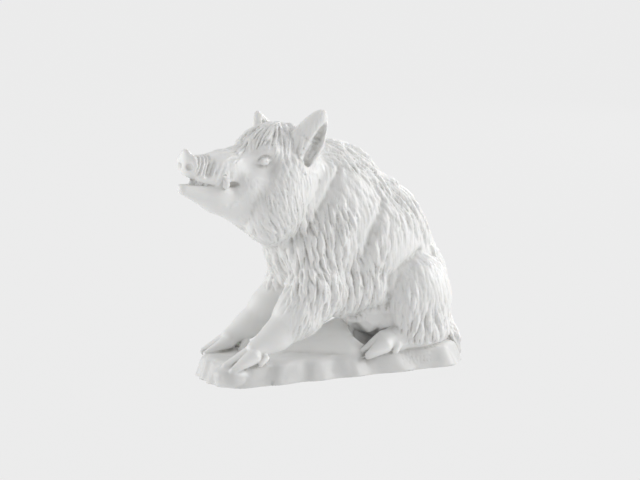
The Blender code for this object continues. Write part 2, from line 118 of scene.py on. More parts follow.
class Limb:
    """Round limb that tapers from one radius to another; flat is its width over its depth."""

    def __init__(self, start, end, start_radius, end_radius, flat=1.0, blend=5.0):
        self.start = np.asarray(start, dtype=float)
        self.end = np.asarray(end, dtype=float)
        self.start_radius = start_radius
        self.end_radius = end_radius
        self.flat = flat
        self.blend = blend
        self.middle = (self.start + self.end) / 2
        self.reach = np.linalg.norm(self.end - self.start) / 2 + max(start_radius, end_radius)
        self.reach *= max(1.0, flat)

    def distance(self, points):
        squash = np.array((1.0, 1.0 / self.flat, 1.0))
        start = self.start * squash
        span = self.end * squash - start
        offset = points * squash - start
        share = np.clip(offset @ span / (span @ span), 0.0, 1.0)
        radius = self.start_radius + share * (self.end_radius - self.start_radius)
        gap = np.linalg.norm(offset - share[:, None] * span, axis=1) - radius
        return gap * min(1.0, self.flat)


def chain(places, radii, flat=1.0, blend=5.0):
    """Limbs joined end to end through the given places."""
    spans = zip(places[:-1], places[1:], radii[:-1], radii[1:])
    return [Limb(a, b, ra, rb, flat, blend) for a, b, ra, rb in spans]


added = chain([(2, 0, 82), (24, 0, 61), (45, 0, 38)], (34.5, 36, 28.5), flat=0.73)
added += [
    Mass((-2, 0, 97.5), (26, 19, 25.5), blend=7),
    Mass((-20, -1, 100), (27, 17, 25), blend=7),
    Mass((-8, 0, 70), (34, 22, 37), blend=6),
    Mass((45, 0, 28), (27, 24, 33), blend=6),
    Mass((18, 0, 42), (22, 20, 16), pitched(20), blend=6),
    Mass((26, 0, 27), (23, 17, 19), blend=4),
]
for side in (-1, 1):
    added += [
        Mass((16, 17.5 * side, 38), (18, 8.5, 12), blend=3),
        Mass((49, 18 * side, 28), (20.5, 14, 28), pitched(-6), blend=1.6),
        Mass((42, 20 * side, 26), (13, 11, 18), blend=3),
        Mass((50, 21 * side, 10), (17, 10, 10), blend=3),
        Mass((23.5, 11.5 * side, 13), (15.5, 8.5, 15), blend=5),
        Mass((-15, 15 * side, 56), (16, 11, 24), pitched(-12), blend=5),
        Mass((-3, 15.5 * side, 66), (16, 11.5, 31), pitched(24), blend=1.6),
        Mass((-17, 16 * side, 38), (14, 10, 15), blend=5),
        Mass((0, 15 * side, 35), (15, 9, 13), pitched(14), blend=5),
    ]


# The folds of the body
# Deep creases behind the jowl, behind the shoulder blade and in front of the thigh, pressed in
# with the thumb, so that each mass overlaps the next one.
JOWL_FOLD = [(-41, 17, 60), (-33, 24, 68), (-22.5, 27, 76.5), (-14.5, 27.5, 90), (-8, 26, 101),
             (-3, 23, 110)]
SHOULDER_FOLD = [(24, 25, 90), (15, 27.5, 72), (8.5, 28.5, 56), (10, 28, 42)]
THIGH_FOLD = [(48, 25, 58), (37, 28, 51), (27.5, 29, 44), (26.4, 29.5, 33), (27.5, 30.5, 20)]

hollows = []
for side in (-1, 1):
    for fold, radii, blend in ((JOWL_FOLD, (2.0, 4.2, 6.0, 6.2, 5.6, 2.4), 2.2),
                               (SHOULDER_FOLD, (2.0, 3.4, 3.8, 2.4), 2.4),
                               (THIGH_FOLD, (3.0, 4.0, 5.0, 4.0, 3.0), 1.6)):
        places = [(along, out * side, up) for along, out, up in fold]
        hollows += chain(places, radii, blend=blend)
    hollows.append(Mass((50, 27 * side, 57), (8, 4.4, 5), blend=3))


# The head
# Skull, cheeks, muzzle and lower jaw, raised level and turned a little to the boar's left. The
# snout ends in a flat disc with a pointed upper rim and two nostrils. The mouth stands a little
# open, and a short tusk stands up from each side of the lower jaw.
HEAD_PIVOT = np.array((-32.0, -2.0, 0.0))
HEAD_TURN = math.radians(14)
DISC_TURN = math.radians(28)
JOWL_PITCH = -34


def head_axes(turn):
    """Forward, left and up of a head turned towards the boar's left."""
    return np.array((
        (-math.cos(turn), -math.sin(turn), 0.0),
        (math.sin(turn), -math.cos(turn), 0.0),
        (0.0, 0.0, 1.0),
    ))


HEAD_AXES = head_axes(HEAD_TURN)
DISC_AXES = head_axes(DISC_TURN)


def on_head(forward, left, up):
    """Place on the head: forward along the snout, to the boar's left, and up."""
    return HEAD_PIVOT + np.array((forward, left, up)) @ HEAD_AXES


added += [
    Mass(on_head(5, 0, 112), (27, 18.5, 25), HEAD_AXES, blend=6),
    Mass(on_head(2, 0, 93), (29, 20.5, 28), HEAD_AXES, blend=6),
]
added += chain([on_head(24, 0, 109.5), on_head(45, 0, 112.8), on_head(64.5, 0, 116.2)],
               (15.5, 9.8, 6.4), blend=4)
added += chain([on_head(18, 0, 90.5), on_head(48, 0, 98.2), on_head(69.5, 0, 104.2)],
               (17, 9.6, 3.8), blend=3)
for left, tucked in ((1, 0), (-1, 5)):
    added += [
        Mass(on_head(17, 11 * left, 121.5), (7, 5, 4), HEAD_AXES, blend=3),
        Mass(on_head(8.5 - tucked, 9.5 * left, 96.5 + tucked), (19.5, 16.5, 30),
             pitched(JOWL_PITCH) @ HEAD_AXES, blend=1.6),
        Mass(on_head(-4, 11 * left, 110), (15, 11.5, 12), HEAD_AXES, blend=3),
        Mass(on_head(27, 11 * left, 103), (12, 6, 8), HEAD_AXES, blend=4),
        Limb(on_head(47, 6.5 * left, 107.8), on_head(60, 4.5 * left, 111.0), 4.4, 3.2, blend=3),
    ]

disc = [Mass(on_head(67.4, 0.4, 118.3), (2.4, 7.7, 6.4), DISC_AXES, blend=0.9),
        Mass(on_head(68.8, 0.8, 122.2), (1.7, 3.6, 4.6), DISC_AXES, blend=1.4)]
disc_face = on_head(67.4, 0.4, 116.9)
nostrils = [Limb(disc_face + np.array((4.2, 3.8 * left, 0.2)) @ DISC_AXES,
                 disc_face + np.array((-4.0, 3.2 * left, -0.6)) @ DISC_AXES,
                 2.1, 1.7, blend=0.6) for left in (1, -1)]

for left in (1, -1):
    hollows.append(Mass(on_head(24.5, 17.7 * left, 115.9), (8.8, 4.6, 6.8), HEAD_AXES, blend=3.0))
    hollows.append(Mass(on_head(42.6, 11.0 * left, 104.8), (3.8, 5.0, 1.9), HEAD_AXES, blend=0.7))
    hollows.append(Mass(on_head(33.0, 14.9 * left, 116.0), (8.0, 4.0, 5.4), HEAD_AXES, blend=3.0))
    hollows.append(Limb(on_head(44.2, 11.4 * left, 107.0), on_head(45.0, 11.6 * left, 112.6),
                        1.5, 1.1, blend=0.5))
hollows.append(Limb(on_head(80, 0, 109.2), on_head(46, 0, 104.4), 1.6, 0.4, flat=12.0, blend=0.5))

last = []
for left in (1, -1):
    last.append(Mass(on_head(22.5, 13.0 * left, 116.4), (2.5, 2.3, 1.8), HEAD_AXES, blend=0.9))
    last.append(Limb(on_head(48.2, 11.3 * left, 105.2), on_head(49.6, 12.5 * left, 114.4),
                     2.1, 1.3, blend=0.4))


# The legs, feet and tail
# The forelegs are stretched forward to the plinth's front edge and the hind shanks lie on the
# ground. Each foot has two hooves side by side and small dewclaws behind them. The tail hangs
# over the plinth's end. All are luted to the plinth before firing.
def cloven_foot(heel, tips, heel_radius, tip_radius):
    """Two hooves side by side, from the heel to each tip."""
    return [Limb(heel_place, tip, heel_radius, tip_radius, blend=0.8)
            for heel_place, tip in zip(heel, tips)]


added += chain([(-17, -17, 38.5), (-30, -19, 25.6), (-43.8, -20.5, 14.6), (-57, -21.5, 8.2)],
               (16, 13.2, 8.2, 5.8), flat=0.85, blend=4)
added += cloven_foot([(-60, -19.6, 5.8), (-60, -24.6, 5.0)],
                     [(-75.5, -20.2, 0.2), (-73.5, -26.8, -1.4)], 4.5, 2.0)
added += [
    Limb((-53, -25.5, 3.6), (-56.5, -27.2, 0.8), 2.4, 1.5, blend=0.8),
    Limb((-51, -17, 4), (-54, -16, 0.8), 2.4, 1.4, blend=0.8),
]
added += chain([(-19, 16, 36), (-33, 17, 25), (-45.5, 18, 13.5), (-56, 18.5, 7.4)],
               (12.5, 9.5, 7.2, 5.6), flat=0.9, blend=4)
added += cloven_foot([(-59, 16, 5.2), (-59, 21, 5.2)],
                     [(-73, 15, -0.2), (-72, 22.5, -0.2)], 4.2, 1.7)
added += [
    Limb((-48, 14, 4.5), (-52, 12.6, 0.8), 2.4, 1.4, blend=1.0),
    Limb((-48, 22, 4.5), (-52, 23.4, 0.8), 2.4, 1.4, blend=1.0),
]


def hind_foot(side, forward):
    """Hind shank lying on the ground with the hoof ahead of the belly."""
    def place(along, out, up):
        return (along - forward, out * side, up)
    shank = chain([place(48, 19, 8), place(34, 21, 6.0), place(25.5, 22.6, 5.4)],
                  (8.5, 6.8, 6.3), blend=2)
    toes = cloven_foot([place(22.5, 20.4, 4.6), place(23, 25.8, 4.2)],
                       [place(12, 20.2, 0), place(12, 27.2, -0.8)], 5.0, 2.2)
    claws = [Limb(place(31, 27.0, 3.6), place(29, 28.4, 0.4), 2.6, 2.0, blend=0.9)]
    return shank + toes + claws


added += hind_foot(-1, 0) + hind_foot(1, 4.5)
tail = chain([(69, 0, 20), (73.5, -3, 9), (77, -6, 0), (79.5, -8, -8)],
             (4.5, 5.0, 5.2, 2.4), blend=2.0)
added += tail


# The ears
# Two pricked ears, pressed as leaves and hollowed with a tool while soft. The near one is turned
# back, so its hollow opens towards its rear edge.
NEAR_EAR = (np.array((-30.0, -15.5, 112.0)), np.array((-14.4, -21.5, 143.5)),
            np.array((0.86, -0.22, -0.44)))
FAR_EAR = (np.array((-31.0, 13.0, 111.0)), np.array((-37.5, 20.5, 139.5)),
           np.array((0.96, 0.22, 0.15)))


def leaf_axes(along, across):
    """Axes of a flat leaf from the way it points and the way it is broad."""
    along = along / np.linalg.norm(along)
    across = across - along * np.dot(across, along)
    across = across / np.linalg.norm(across)
    return np.array((along, across, np.cross(along, across)))


def ear_leaf(ear, half_width, half_depth, shift, shorter, blend, taper):
    """Pointed leaf along an ear, moved by shift across and out of its plane."""
    root, tip, broad = ear
    axes = leaf_axes(tip - root, broad)
    length = np.linalg.norm(tip - root) / 2
    centre = (root + tip) / 2 + axes[1] * shift[0] + axes[2] * shift[1]
    return Mass(centre, (length * shorter, half_width, half_depth), axes, blend, taper)


ears = [ear_leaf(NEAR_EAR, 9.8, 4.6, (0, 0), 1.03, 1.6, 0.28),
        ear_leaf(FAR_EAR, 8.4, 3.8, (0, 0), 1.03, 1.6, 0.50)]
ear_hollows = [ear_leaf(NEAR_EAR, 3.8, 5.6, (4.4, -4.8), 0.84, 0.9, 0.20),
               ear_leaf(FAR_EAR, 4.0, 4.0, (0.4, -4.2), 0.74, 0.9, 0.50)]


# The plinth
# A low oblong slab of modelled ground with rounded corners and a leaning side. The side was cut
# with the edge of a tool into soft upright scallops, and the top is smoothed into low ledges.
# A rocky hill rises between the legs and carries the belly, and a stone ends the near front corner.
PLINTH_CORNER_RADIUS = 22.0
PLINTH_EDGE_RADIUS = 3.5
PLINTH_BATTER = 4.5
SCALLOP_DEPTH = 1.8
SCALLOP_LENGTH = 21.0
WIPED_OFF = 1.0
HILL_TOP = (4.6, 0.0, 18.5)
HILL_FRONT = 36.0
HILL_BACK = 35.0
HILL_HALF_WIDTH = 24.0
HILL_EDGE_SOFTNESS = 0.06

added.append(Mass((-71.5, -19, -6.4), (10.5, 9.6, 6.8), blend=2))


def lattice_noise(points, size, seed):
    """Smooth noise between -1 and 1 with bumps of the given size."""
    scaled = points / size
    cell = np.floor(scaled).astype(np.int64)
    part = scaled - cell
    part = part * part * (3.0 - 2.0 * part)
    total = np.zeros(len(points))
    for corner in range(8):
        bits = np.array((corner & 1, corner >> 1 & 1, corner >> 2 & 1))
        key = (cell + bits) @ np.array((73856093, 19349663, 83492791)) + seed * 2654435761
        key = (key ^ (key >> 13)) * 1274126177 & 0xFFFFFFFF
        key = (key ^ (key >> 16)) & 0xFFFF
        weight = np.prod(np.where(bits == 1, part, 1.0 - part), axis=1)
        total += weight * (key / 32767.5 - 1.0)
    return total


def hill_height(points):
    """Height over the plinth's top of the rocky hill, which has four soft-edged faces."""
    along = points[:, 0] - HILL_TOP[0]
    along = along / np.where(along < 0.0, HILL_FRONT, HILL_BACK)
    across = (points[:, 1] - HILL_TOP[1]) / HILL_HALF_WIDTH
    outward = np.hypot(along, HILL_EDGE_SOFTNESS) + np.hypot(across, HILL_EDGE_SOFTNESS)
    outward -= HILL_EDGE_SOFTNESS
    return HILL_TOP[2] * np.maximum(1.0 - outward, 0.0)


def plinth_distance(points):
    """Rounded, battered slab with soft scallops round its side."""
    half_length = PLINTH_LENGTH / 2
    half_width = PLINTH_WIDTH / 2
    inside = np.abs(points[:, :2]) - np.array((half_length, half_width)) + PLINTH_CORNER_RADIUS
    plan = (np.linalg.norm(np.maximum(inside, 0.0), axis=1)
            + np.minimum(inside.max(axis=1), 0.0) - PLINTH_CORNER_RADIUS)
    turn = np.arctan2(points[:, 1] / half_width, points[:, 0] / half_length)
    scallops = round(2 * (PLINTH_LENGTH + PLINTH_WIDTH) / SCALLOP_LENGTH)
    wave = np.cos(turn * scallops + 1.3 * np.sin(3 * turn) + 0.06 * points[:, 2])
    side = plan + (points[:, 2] + PLINTH_HEIGHT) / PLINTH_HEIGHT * PLINTH_BATTER
    side += SCALLOP_DEPTH * (0.5 - 0.5 * wave)
    rise = points[:, 2] + 0.5 * np.sin(points[:, 0] / 11.0) * np.cos(points[:, 1] / 9.0)
    rise -= hill_height(points)
    corner_gap = np.maximum(np.stack((side, rise), axis=1) + PLINTH_EDGE_RADIUS, 0.0)
    slab = (np.linalg.norm(corner_gap, axis=1)
            + np.minimum(np.maximum(side, rise) + PLINTH_EDGE_RADIUS, 0.0) - PLINTH_EDGE_RADIUS)
    return np.maximum(slab, -(points[:, 2] + PLINTH_HEIGHT + WIPED_OFF))


# The fused form
# Masses, limbs, ears and plinth are luted together and smoothed at the joins. The blank's points
# are moved onto that form, so every later stroke starts from a clean surface.
SETTLE_ROUNDS = 3
SETTLE_STEP = 1.5
SLOPE_STEP = 0.12
LEAST_STEEPNESS = 0.35


def melt(first, second, blend):
    """Smooth union of two distances."""
    share = np.clip(0.5 + 0.5 * (second - first) / blend, 0.0, 1.0)
    return second + (first - second) * share - blend * share * (1.0 - share)


def close_to(form, points):
    """Indices of the points that a form can reach with its blend."""
    squared = ((points - form.middle) ** 2).sum(axis=1)
    return np.flatnonzero(squared < (form.reach + form.blend + 4.0) ** 2)


def form_distance(points):
    """Signed distance to the whole figurine."""
    gap = plinth_distance(points)
    for form in added:
        near = close_to(form, points)
        gap[near] = melt(gap[near], form.distance(points[near]), form.blend)
    for hollow in hollows:
        near = close_to(hollow, points)
        gap[near] = -melt(-gap[near], hollow.distance(points[near]), hollow.blend)
    for form in disc + ears + last:
        near = close_to(form, points)
        gap[near] = melt(gap[near], form.distance(points[near]), form.blend)
    for hollow in ear_hollows + nostrils:
        near = close_to(hollow, points)
        gap[near] = -melt(-gap[near], hollow.distance(points[near]), hollow.blend)
    return gap


def form_slope(points):
    """Distance, outward direction and steepness, from four corners round each point."""
    gap = np.zeros(len(points))
    slope = np.zeros((len(points), 3))
    for corner in ((1, -1, -1), (-1, -1, 1), (-1, 1, -1), (1, 1, 1)):
        corner = np.array(corner, dtype=float)
        corner_gap = form_distance(points + SLOPE_STEP * corner)
        gap += corner_gap / 4
        slope += corner * corner_gap[:, None]
    length = np.linalg.norm(slope, axis=1) + 1e-9
    return gap, slope / length[:, None], length / (4 * SLOPE_STEP)


top = np.array((0.0, 0.0, PLINTH_HEIGHT))
points = np.empty(len(blank.data.vertices) * 3)
blank.data.vertices.foreach_get("co", points)
points = points.reshape(-1, 3) / MILLIMETRE - top
for _ in range(SETTLE_ROUNDS):
    gap, normals, steepness = form_slope(points)
    travel = np.clip(gap / np.maximum(steepness, LEAST_STEEPNESS), -SETTLE_STEP, SETTLE_STEP)
    points = points - normals * travel[:, None]


# The coat
# Bristles and woolly locks, tooled into the soft paste with a pointed stick. Long locks overlap
# down the mane, the cheeks, the breast and the belly, with finer strokes over them. The insides
# of the forelegs, the hind feet and the ground under the belly are left bare.
COAT = [
    # place, way of the hair, lock height, lock length, stroke depth; the right side repeats it
    ((-6, -8, 121), (0.75, -0.35, -0.55), 1.4, 13, 0.40),
    ((12, -7, 117), (0.80, -0.25, -0.55), 2.2, 18, 0.46),
    ((30, -7, 104), (0.66, -0.30, -0.70), 2.2, 19, 0.46),
    ((50, -7, 84), (0.55, -0.30, -0.78), 2.0, 19, 0.46),
    ((65, -6, 62), (0.30, -0.20, -0.93), 1.6, 16, 0.40),
    ((-18, -18, 98), (0.15, -0.30, -0.94), 0.4, 9, 0.14),
    ((-10, -21, 108), (0.30, -0.30, -0.90), 0.3, 9, 0.08),
    ((-38, -18, 92), (0.22, -0.25, -0.94), 1.5, 11, 0.36),
    ((-48, -14, 78), (0.30, -0.20, -0.93), 1.6, 11, 0.36),
    ((-28, -20, 76), (0.30, -0.10, -0.95), 2.4, 12, 0.40),
    ((-8, -22, 84), (0.20, -0.15, -0.97), 1.9, 12, 0.40),
    ((10, -24, 78), (0.16, -0.10, -0.98), 0.4, 11, 0.10),
    ((0, -25, 64), (0.14, -0.10, -0.98), 1.2, 11, 0.26),
    ((6, -23, 95), (0.35, -0.20, -0.92), 0.6, 11, 0.16),
    ((20, -24, 66), (0.10, -0.10, -0.99), 1.2, 12, 0.34),
    ((32, -25, 64), (0.10, -0.10, -0.99), 0.3, 11, 0.08),
    ((30, -26, 48), (0.10, -0.10, -0.99), 0.5, 11, 0.14),
    ((46, -20, 66), (0.20, -0.10, -0.97), 0.4, 11, 0.12),
    ((-36, -8, 54), (0.45, -0.15, -0.88), 2.0, 13, 0.40),
    ((-20, -24, 56), (0.14, -0.08, -0.99), 1.8, 12, 0.42),
    ((0, -24, 52), (0.10, -0.05, -0.99), 1.8, 12, 0.42),
    ((18, -24, 48), (0.08, -0.02, -1.0), 1.6, 13, 0.38),
    ((14, -22, 32), (0.06, 0.10, -0.99), 1.2, 13, 0.48),
    ((-10, -22, 34), (-0.10, 0.0, -0.99), 2.0, 12, 0.40),
    ((-24, -24, 32), (-0.30, 0.0, -0.95), 0.5, 12, 0.40),
    ((-30, -27, 24), (-0.35, 0.0, -0.94), 0.2, 11, 0.55),
    ((-40, -25, 17), (-0.60, 0.0, -0.80), 0.0, 9, 0.34),
    ((-34, -11, 33), (-0.50, 0.0, -0.86), 0.0, 9, 0.05),
    ((-27, -8, 32), (-0.50, 0.0, -0.86), 0.0, 9, 0.05),
    ((-40, -14, 22), (-0.75, 0.0, -0.60), 0.0, 8, 0.0),
    ((-48, -22, 12), (-0.85, 0.0, -0.52), 0.0, 7, 0.0),
    ((50, -32, 40), (0.10, -0.05, -0.99), 0.3, 11, 0.14),
    ((40, -30, 34), (0.05, 0.0, -0.99), 0.8, 12, 0.30),
    ((46, -32, 16), (0.05, 0.0, -1.0), 2.0, 14, 0.42),
    ((62, -26, 14), (0.15, 0.0, -0.98), 1.3, 12, 0.34),
    ((70, -14, 34), (0.15, -0.10, -0.97), 0.9, 12, 0.28),
    ((32, -24, 6), (-0.90, 0.0, -0.3), 0.0, 8, 0.0),
    ((79, -7, -2), (0.30, -0.15, -0.94), 1.2, 10, 0.40),
]
HEAD_COAT = [
    ((14, 5, 136), (0.70, 0.20, -0.70), 1.3, 18, 0.90),
    ((24, 8, 128), (0.50, 0.20, -0.84), 1.0, 18, 0.86),
    ((0, 8, 136), (0.25, 0.60, -0.75), 1.3, 17, 0.84),
    ((14, 14, 127), (0.20, 0.30, -0.93), 0.8, 14, 0.50),
    ((32, 3, 125), (0.90, 0.10, -0.42), 0.5, 9, 0.30),
    ((24, 15, 117), (0.3, 0.3, -0.90), 0.0, 7, 0.0),
    ((14, 17, 122), (0.2, 0.3, -0.90), 0.6, 8, 0.20),
    ((45, 8, 120), (0.9, 0.1, -0.3), 0.0, 7, 0.10),
    ((66, 6, 118), (0.9, 0.1, -0.3), 0.0, 7, 0.0),
    ((66, 4, 104), (-0.9, 0.1, -0.3), 0.0, 7, 0.0),
    ((45, 9, 101), (-0.75, 0.1, -0.65), 0.0, 8, 0.04),
    ((33, 13, 104), (-0.45, 0.2, -0.87), 0.2, 8, 0.16),
    ((22, 17, 96), (-0.38, 0.2, -0.90), 0.9, 11, 0.46),
    ((8, 22, 88), (-0.30, 0.2, -0.92), 1.3, 12, 0.46),
    ((14, 20, 78), (-0.30, 0.0, -0.95), 1.4, 12, 0.46),
    ((30, 8, 86), (-0.45, 0.2, -0.87), 1.0, 11, 0.36),
    ((-9, 20, 130), (-0.2, 0.2, 0.9), 0.0, 9, 0.10),
    ((-4, 18, 118), (-0.1, 0.3, 0.9), 0.9, 9, 0.26),
    ((8, 19, 110), (-0.10, 0.2, -0.95), 0.4, 9, 0.20),
]
LOCK_SEED = 11
TIERS = (
    # share of the lock height, length over lock length, half-width, spacing over length
    (1.00, 1.15, 2.3, 0.34),
    (0.45, 0.95, 1.25, 0.23),
)
STROKE_PRESS = 1.6
STROKE_LENGTH = 11.0
LONG_HAIR = 11.5
STROKE_HALF_WIDTH = 0.85
STROKE_SPACING = 1.8
SAME_SURFACE = 4.0
LOCK_SINK = 0.35
STROKE_SINK = 0.5
WANDER = 0.35
WANDER_SIZE = 11.0
ROOT_CANDIDATES = 90000
TAIL_SKIN = 0.8
EAR_SKIN = 1.4
EAR_STROKE_DEPTH = 0.5
EAR_COVER = 0.6
PATCH_EDGE = 4.5
BARE_PATCHES = (
    # lowest and highest corner
    ((-66, -20.5, -6), (-21, 28, 37)),
    ((-32, -18.5, -4), (48, 18.5, 17)),
    ((12, -26, -4), (44, 26, 25)),
    ((0, -38, -6), (38, -11, 12)),
    ((0, 11, -6), (38, 38, 12)),
)


def soft_step(value, start, end):
    """Rises smoothly from 0 at start to 1 at end."""
    share = np.clip((value - start) / (end - start), 0.0, 1.0)
    return share * share * (3.0 - 2.0 * share)


def mirrored_rows(rows, to_figure, way_to_figure):
    """Rows of the coat on both sides, as places and ways on the figure."""
    both = []
    for place, way, *rest in rows:
        for flip in (1, -1):
            mirror = np.array((1, flip, 1))
            both.append((to_figure(np.array(place) * mirror),
                         way_to_figure(np.array(way) * mirror), *rest))
    return both


coat_rows = mirrored_rows(COAT, lambda place: place, lambda way: way)
coat_rows += mirrored_rows(HEAD_COAT, lambda place: on_head(*place), lambda way: way @ HEAD_AXES)
coat_places, coat_ways, lock_heights, lock_lengths, stroke_depths = (
    np.array(column, dtype=float) for column in zip(*coat_rows))


def coat_at(places, facing):
    """Way of the hair, lock height, lock length and stroke depth at each place."""
    squared = ((places ** 2).sum(axis=1)[:, None] - 2.0 * places @ coat_places.T
               + (coat_places ** 2).sum(axis=1)[None, :])
    weight = 1.0 / (np.maximum(squared, 0.0) + 6.0) ** 2.5
    weight /= weight.sum(axis=1)[:, None]
    way = weight @ coat_ways
    way -= facing * (way * facing).sum(axis=1)[:, None]
    way /= np.linalg.norm(way, axis=1)[:, None] + 1e-9
    return way, weight @ lock_heights, weight @ lock_lengths, weight @ stroke_depths


def scattered(places, spacing, rng):
    """Indices of places picked in random order, none nearer another than its spacing."""
    cell = spacing.max()
    cells = {}
    picked = []
    keys = np.floor(places / cell).astype(int)
    for index in rng.permutation(len(places)):
        x, y, z = keys[index]
        around = [other for dx in (-1, 0, 1) for dy in (-1, 0, 1) for dz in (-1, 0, 1)
                  for other in cells.get((x + dx, y + dy, z + dz), ())]
        here = places[index]
        limit = spacing[index] ** 2
        if all((here[0] - there[0]) ** 2 + (here[1] - there[1]) ** 2
               + (here[2] - there[2]) ** 2 >= limit for there in around):
            cells.setdefault((x, y, z), []).append(here)
            picked.append(index)
    return np.array(picked)


class Finder:
    """Finds the points of a set that lie near given places."""

    def __init__(self, places, cell):
        self.cell = cell
        self.low = np.floor(places.min(axis=0) / cell).astype(np.int64) - 1
        keys = np.floor(places / cell).astype(np.int64) - self.low
        self.span = keys.max(axis=0) + 3
        flat = self.flat(keys)
        self.order = np.argsort(flat, kind="stable")
        self.sorted = flat[self.order]

    def flat(self, keys):
        return (keys[..., 0] * self.span[1] + keys[..., 1]) * self.span[2] + keys[..., 2]

    def around(self, places):
        """For each place, the indices of the points in its own cell and those next to it."""
        keys = np.floor(places / self.cell).astype(np.int64) - self.low
        columns = np.array([(dx, dy, 0) for dx in (-1, 0, 1) for dy in (-1, 0, 1)])
        middle = self.flat(keys[:, None, :] + columns[None, :, :])
        starts = np.searchsorted(self.sorted, middle - 1, side="left")
        ends = np.searchsorted(self.sorted, middle + 1, side="right")
        for row_starts, row_ends in zip(starts, ends):
            yield np.concatenate([self.order[a:b] for a, b in zip(row_starts, row_ends)])


def tooled(height, reach, half, sway, roots):
    """Relief of overlapping hairs: each swells, draws out to a point and has a round back."""
    raised = np.zeros(len(points))
    middles = points[roots] + way[roots] * reach[:, None] / 2
    finder = Finder(points, (reach / 2 + half).max())
    for number, near in enumerate(finder.around(middles)):
        root = roots[number]
        offset = points[near] - points[root]
        along = offset @ way[root] / reach[number]
        side = np.cross(normals[root], way[root])
        across = offset @ side / half[number] - sway[number] * along * along
        inside = ((along > -0.15) & (along < 1.08) & (np.abs(across) < 1.0)
                  & (np.abs(offset @ normals[root]) < SAME_SURFACE)
                  & (normals[near] @ normals[root] > 0.15))
        near, along, across = near[inside], along[inside], across[inside]
        taper = np.clip(1.1 - np.maximum(along, 0.0) ** 2.5, 0.1, 1.0)
        ridge = np.clip(1.0 - (across / taper) ** 2, 0.0, 1.0) ** 0.5
        swell = np.clip(along * 1.8 + 0.3, 0.0, 1.0) * np.clip((1.06 - along) * 3.4, 0.0, 1.0)
        raised[near] = np.maximum(raised[near], height[number] * ridge * swell)
    return raised


way, lock_height, lock_length, stroke_depth = coat_at(points, normals)
bare_ground = np.clip((points[:, 2] - 2.0) / 2.5, 0.0, 1.0)
on_tail = np.min([limb.distance(points) for limb in tail], axis=0) < TAIL_SKIN
bare_ground[on_tail] = 1.0
hill = hill_height(points)
on_hill = (hill > 0.3) & (points[:, 2] < hill + 1.6)
bare_ground[on_hill] = 0.0
for low, high in BARE_PATCHES:
    ramp = np.minimum(points - np.array(low), np.array(high) - points)
    bare_ground *= 1.0 - soft_step(ramp.min(axis=1), 0.0, PATCH_EDGE)
lock_height *= bare_ground
stroke_depth *= STROKE_PRESS * bare_ground
cover = bare_ground.copy()
for leaf in ears:
    on_ear = leaf.distance(points) < EAR_SKIN
    lock_height[on_ear] = 0.0
    stroke_depth[on_ear] = EAR_STROKE_DEPTH
    cover[on_ear] = EAR_COVER
    way[on_ear] = leaf.axes[0] - normals[on_ear] * (normals[on_ear] @ leaf.axes[0])[:, None]
wander = WANDER * lattice_noise(points, WANDER_SIZE, 3)
way += np.cross(normals, way) * wander[:, None]
way /= np.linalg.norm(way, axis=1)[:, None]

rng = np.random.default_rng(LOCK_SEED)
relief = np.zeros(len(points))
candidates = rng.permutation(len(points))[:ROOT_CANDIDATES]
for share, longer, half_width, spacing in TIERS:
    furred = candidates[lock_height[candidates] > 0.3]
    roots = furred[scattered(points[furred], spacing * longer * lock_length[furred], rng)]
    count = len(roots)
    reach = longer * lock_length[roots] * rng.uniform(0.8, 1.2, count)
    half = half_width * rng.uniform(0.8, 1.2, count)
    height = share * lock_height[roots] * rng.uniform(0.7, 1.15, count)
    relief += tooled(height, reach, half, rng.uniform(-0.5, 0.5, count), roots)
    relief -= LOCK_SINK * share * lock_height

furred = candidates[stroke_depth[candidates] > 0.03]
roots = furred[scattered(points[furred], np.full(len(furred), STROKE_SPACING), rng)]
count = len(roots)
reach = STROKE_LENGTH * lock_length[roots] / LONG_HAIR * rng.uniform(0.7, 1.3, count)
half = STROKE_HALF_WIDTH * rng.uniform(0.75, 1.25, count)
height = stroke_depth[roots] * rng.uniform(0.6, 1.3, count)
relief += tooled(height, reach, half, rng.uniform(-1.0, 1.0, count), roots)
relief -= STROKE_SINK * stroke_depth


# The creases
# The folds behind the jowl, at the shoulder and before the thigh were pressed once more with the
# edge of a tool after the coat was done, so each part of the body stands off from the next.
CREASE_DEPTH = 1.5
CREASE_HALF_WIDTH = 1.7

from_side = points * np.array((1.0, 0.0, 1.0))
on_flank = np.clip((np.abs(normals[:, 1]) - 0.15) * 4.0, 0.0, 1.0) * (np.abs(points[:, 1]) > 10.0)
for fold, press in ((JOWL_FOLD[1:], 0.8), (SHOULDER_FOLD, 0.4), (THIGH_FOLD[:4], 1.1)):
    places = [(along, 0.0, up) for along, out, up in fold]
    line = chain(places, [0.0] * len(places))
    gap = np.min([span.distance(from_side) for span in line], axis=0)
    relief -= CREASE_DEPTH * press * on_flank * np.exp(-(gap / CREASE_HALF_WIDTH) ** 2)


# The modelled face
# The eyes, the muzzle and the jaw are smooth, so the coat thins out towards them. A fine tool cut
# the wrinkles behind the disc, the lids, the folds at the lips and pin-sized whisker spots.
WRINKLE_STEP = 2.4
WRINKLE_DEPTH = 1.3
DEEP_FOLD_PLACE = 57.4
DEEP_FOLD_HALF_WIDTH = 1.8
DEEP_FOLD_DEPTH = 2.4
LIP_FOLD_STEP = 3.2
LIP_FOLD_DEPTH = 0.18
LID_HEIGHT = 0.8
PUPIL_DEPTH = 0.8
EYE_LEVEL = 116.5
EYE_HALF_LENGTH = 3.2
WHISKER_SPOTS = 16
SPOT_HEIGHT = 0.35

on_face = (points - HEAD_PIVOT) @ HEAD_AXES.T
forward, leftward, upward = on_face.T

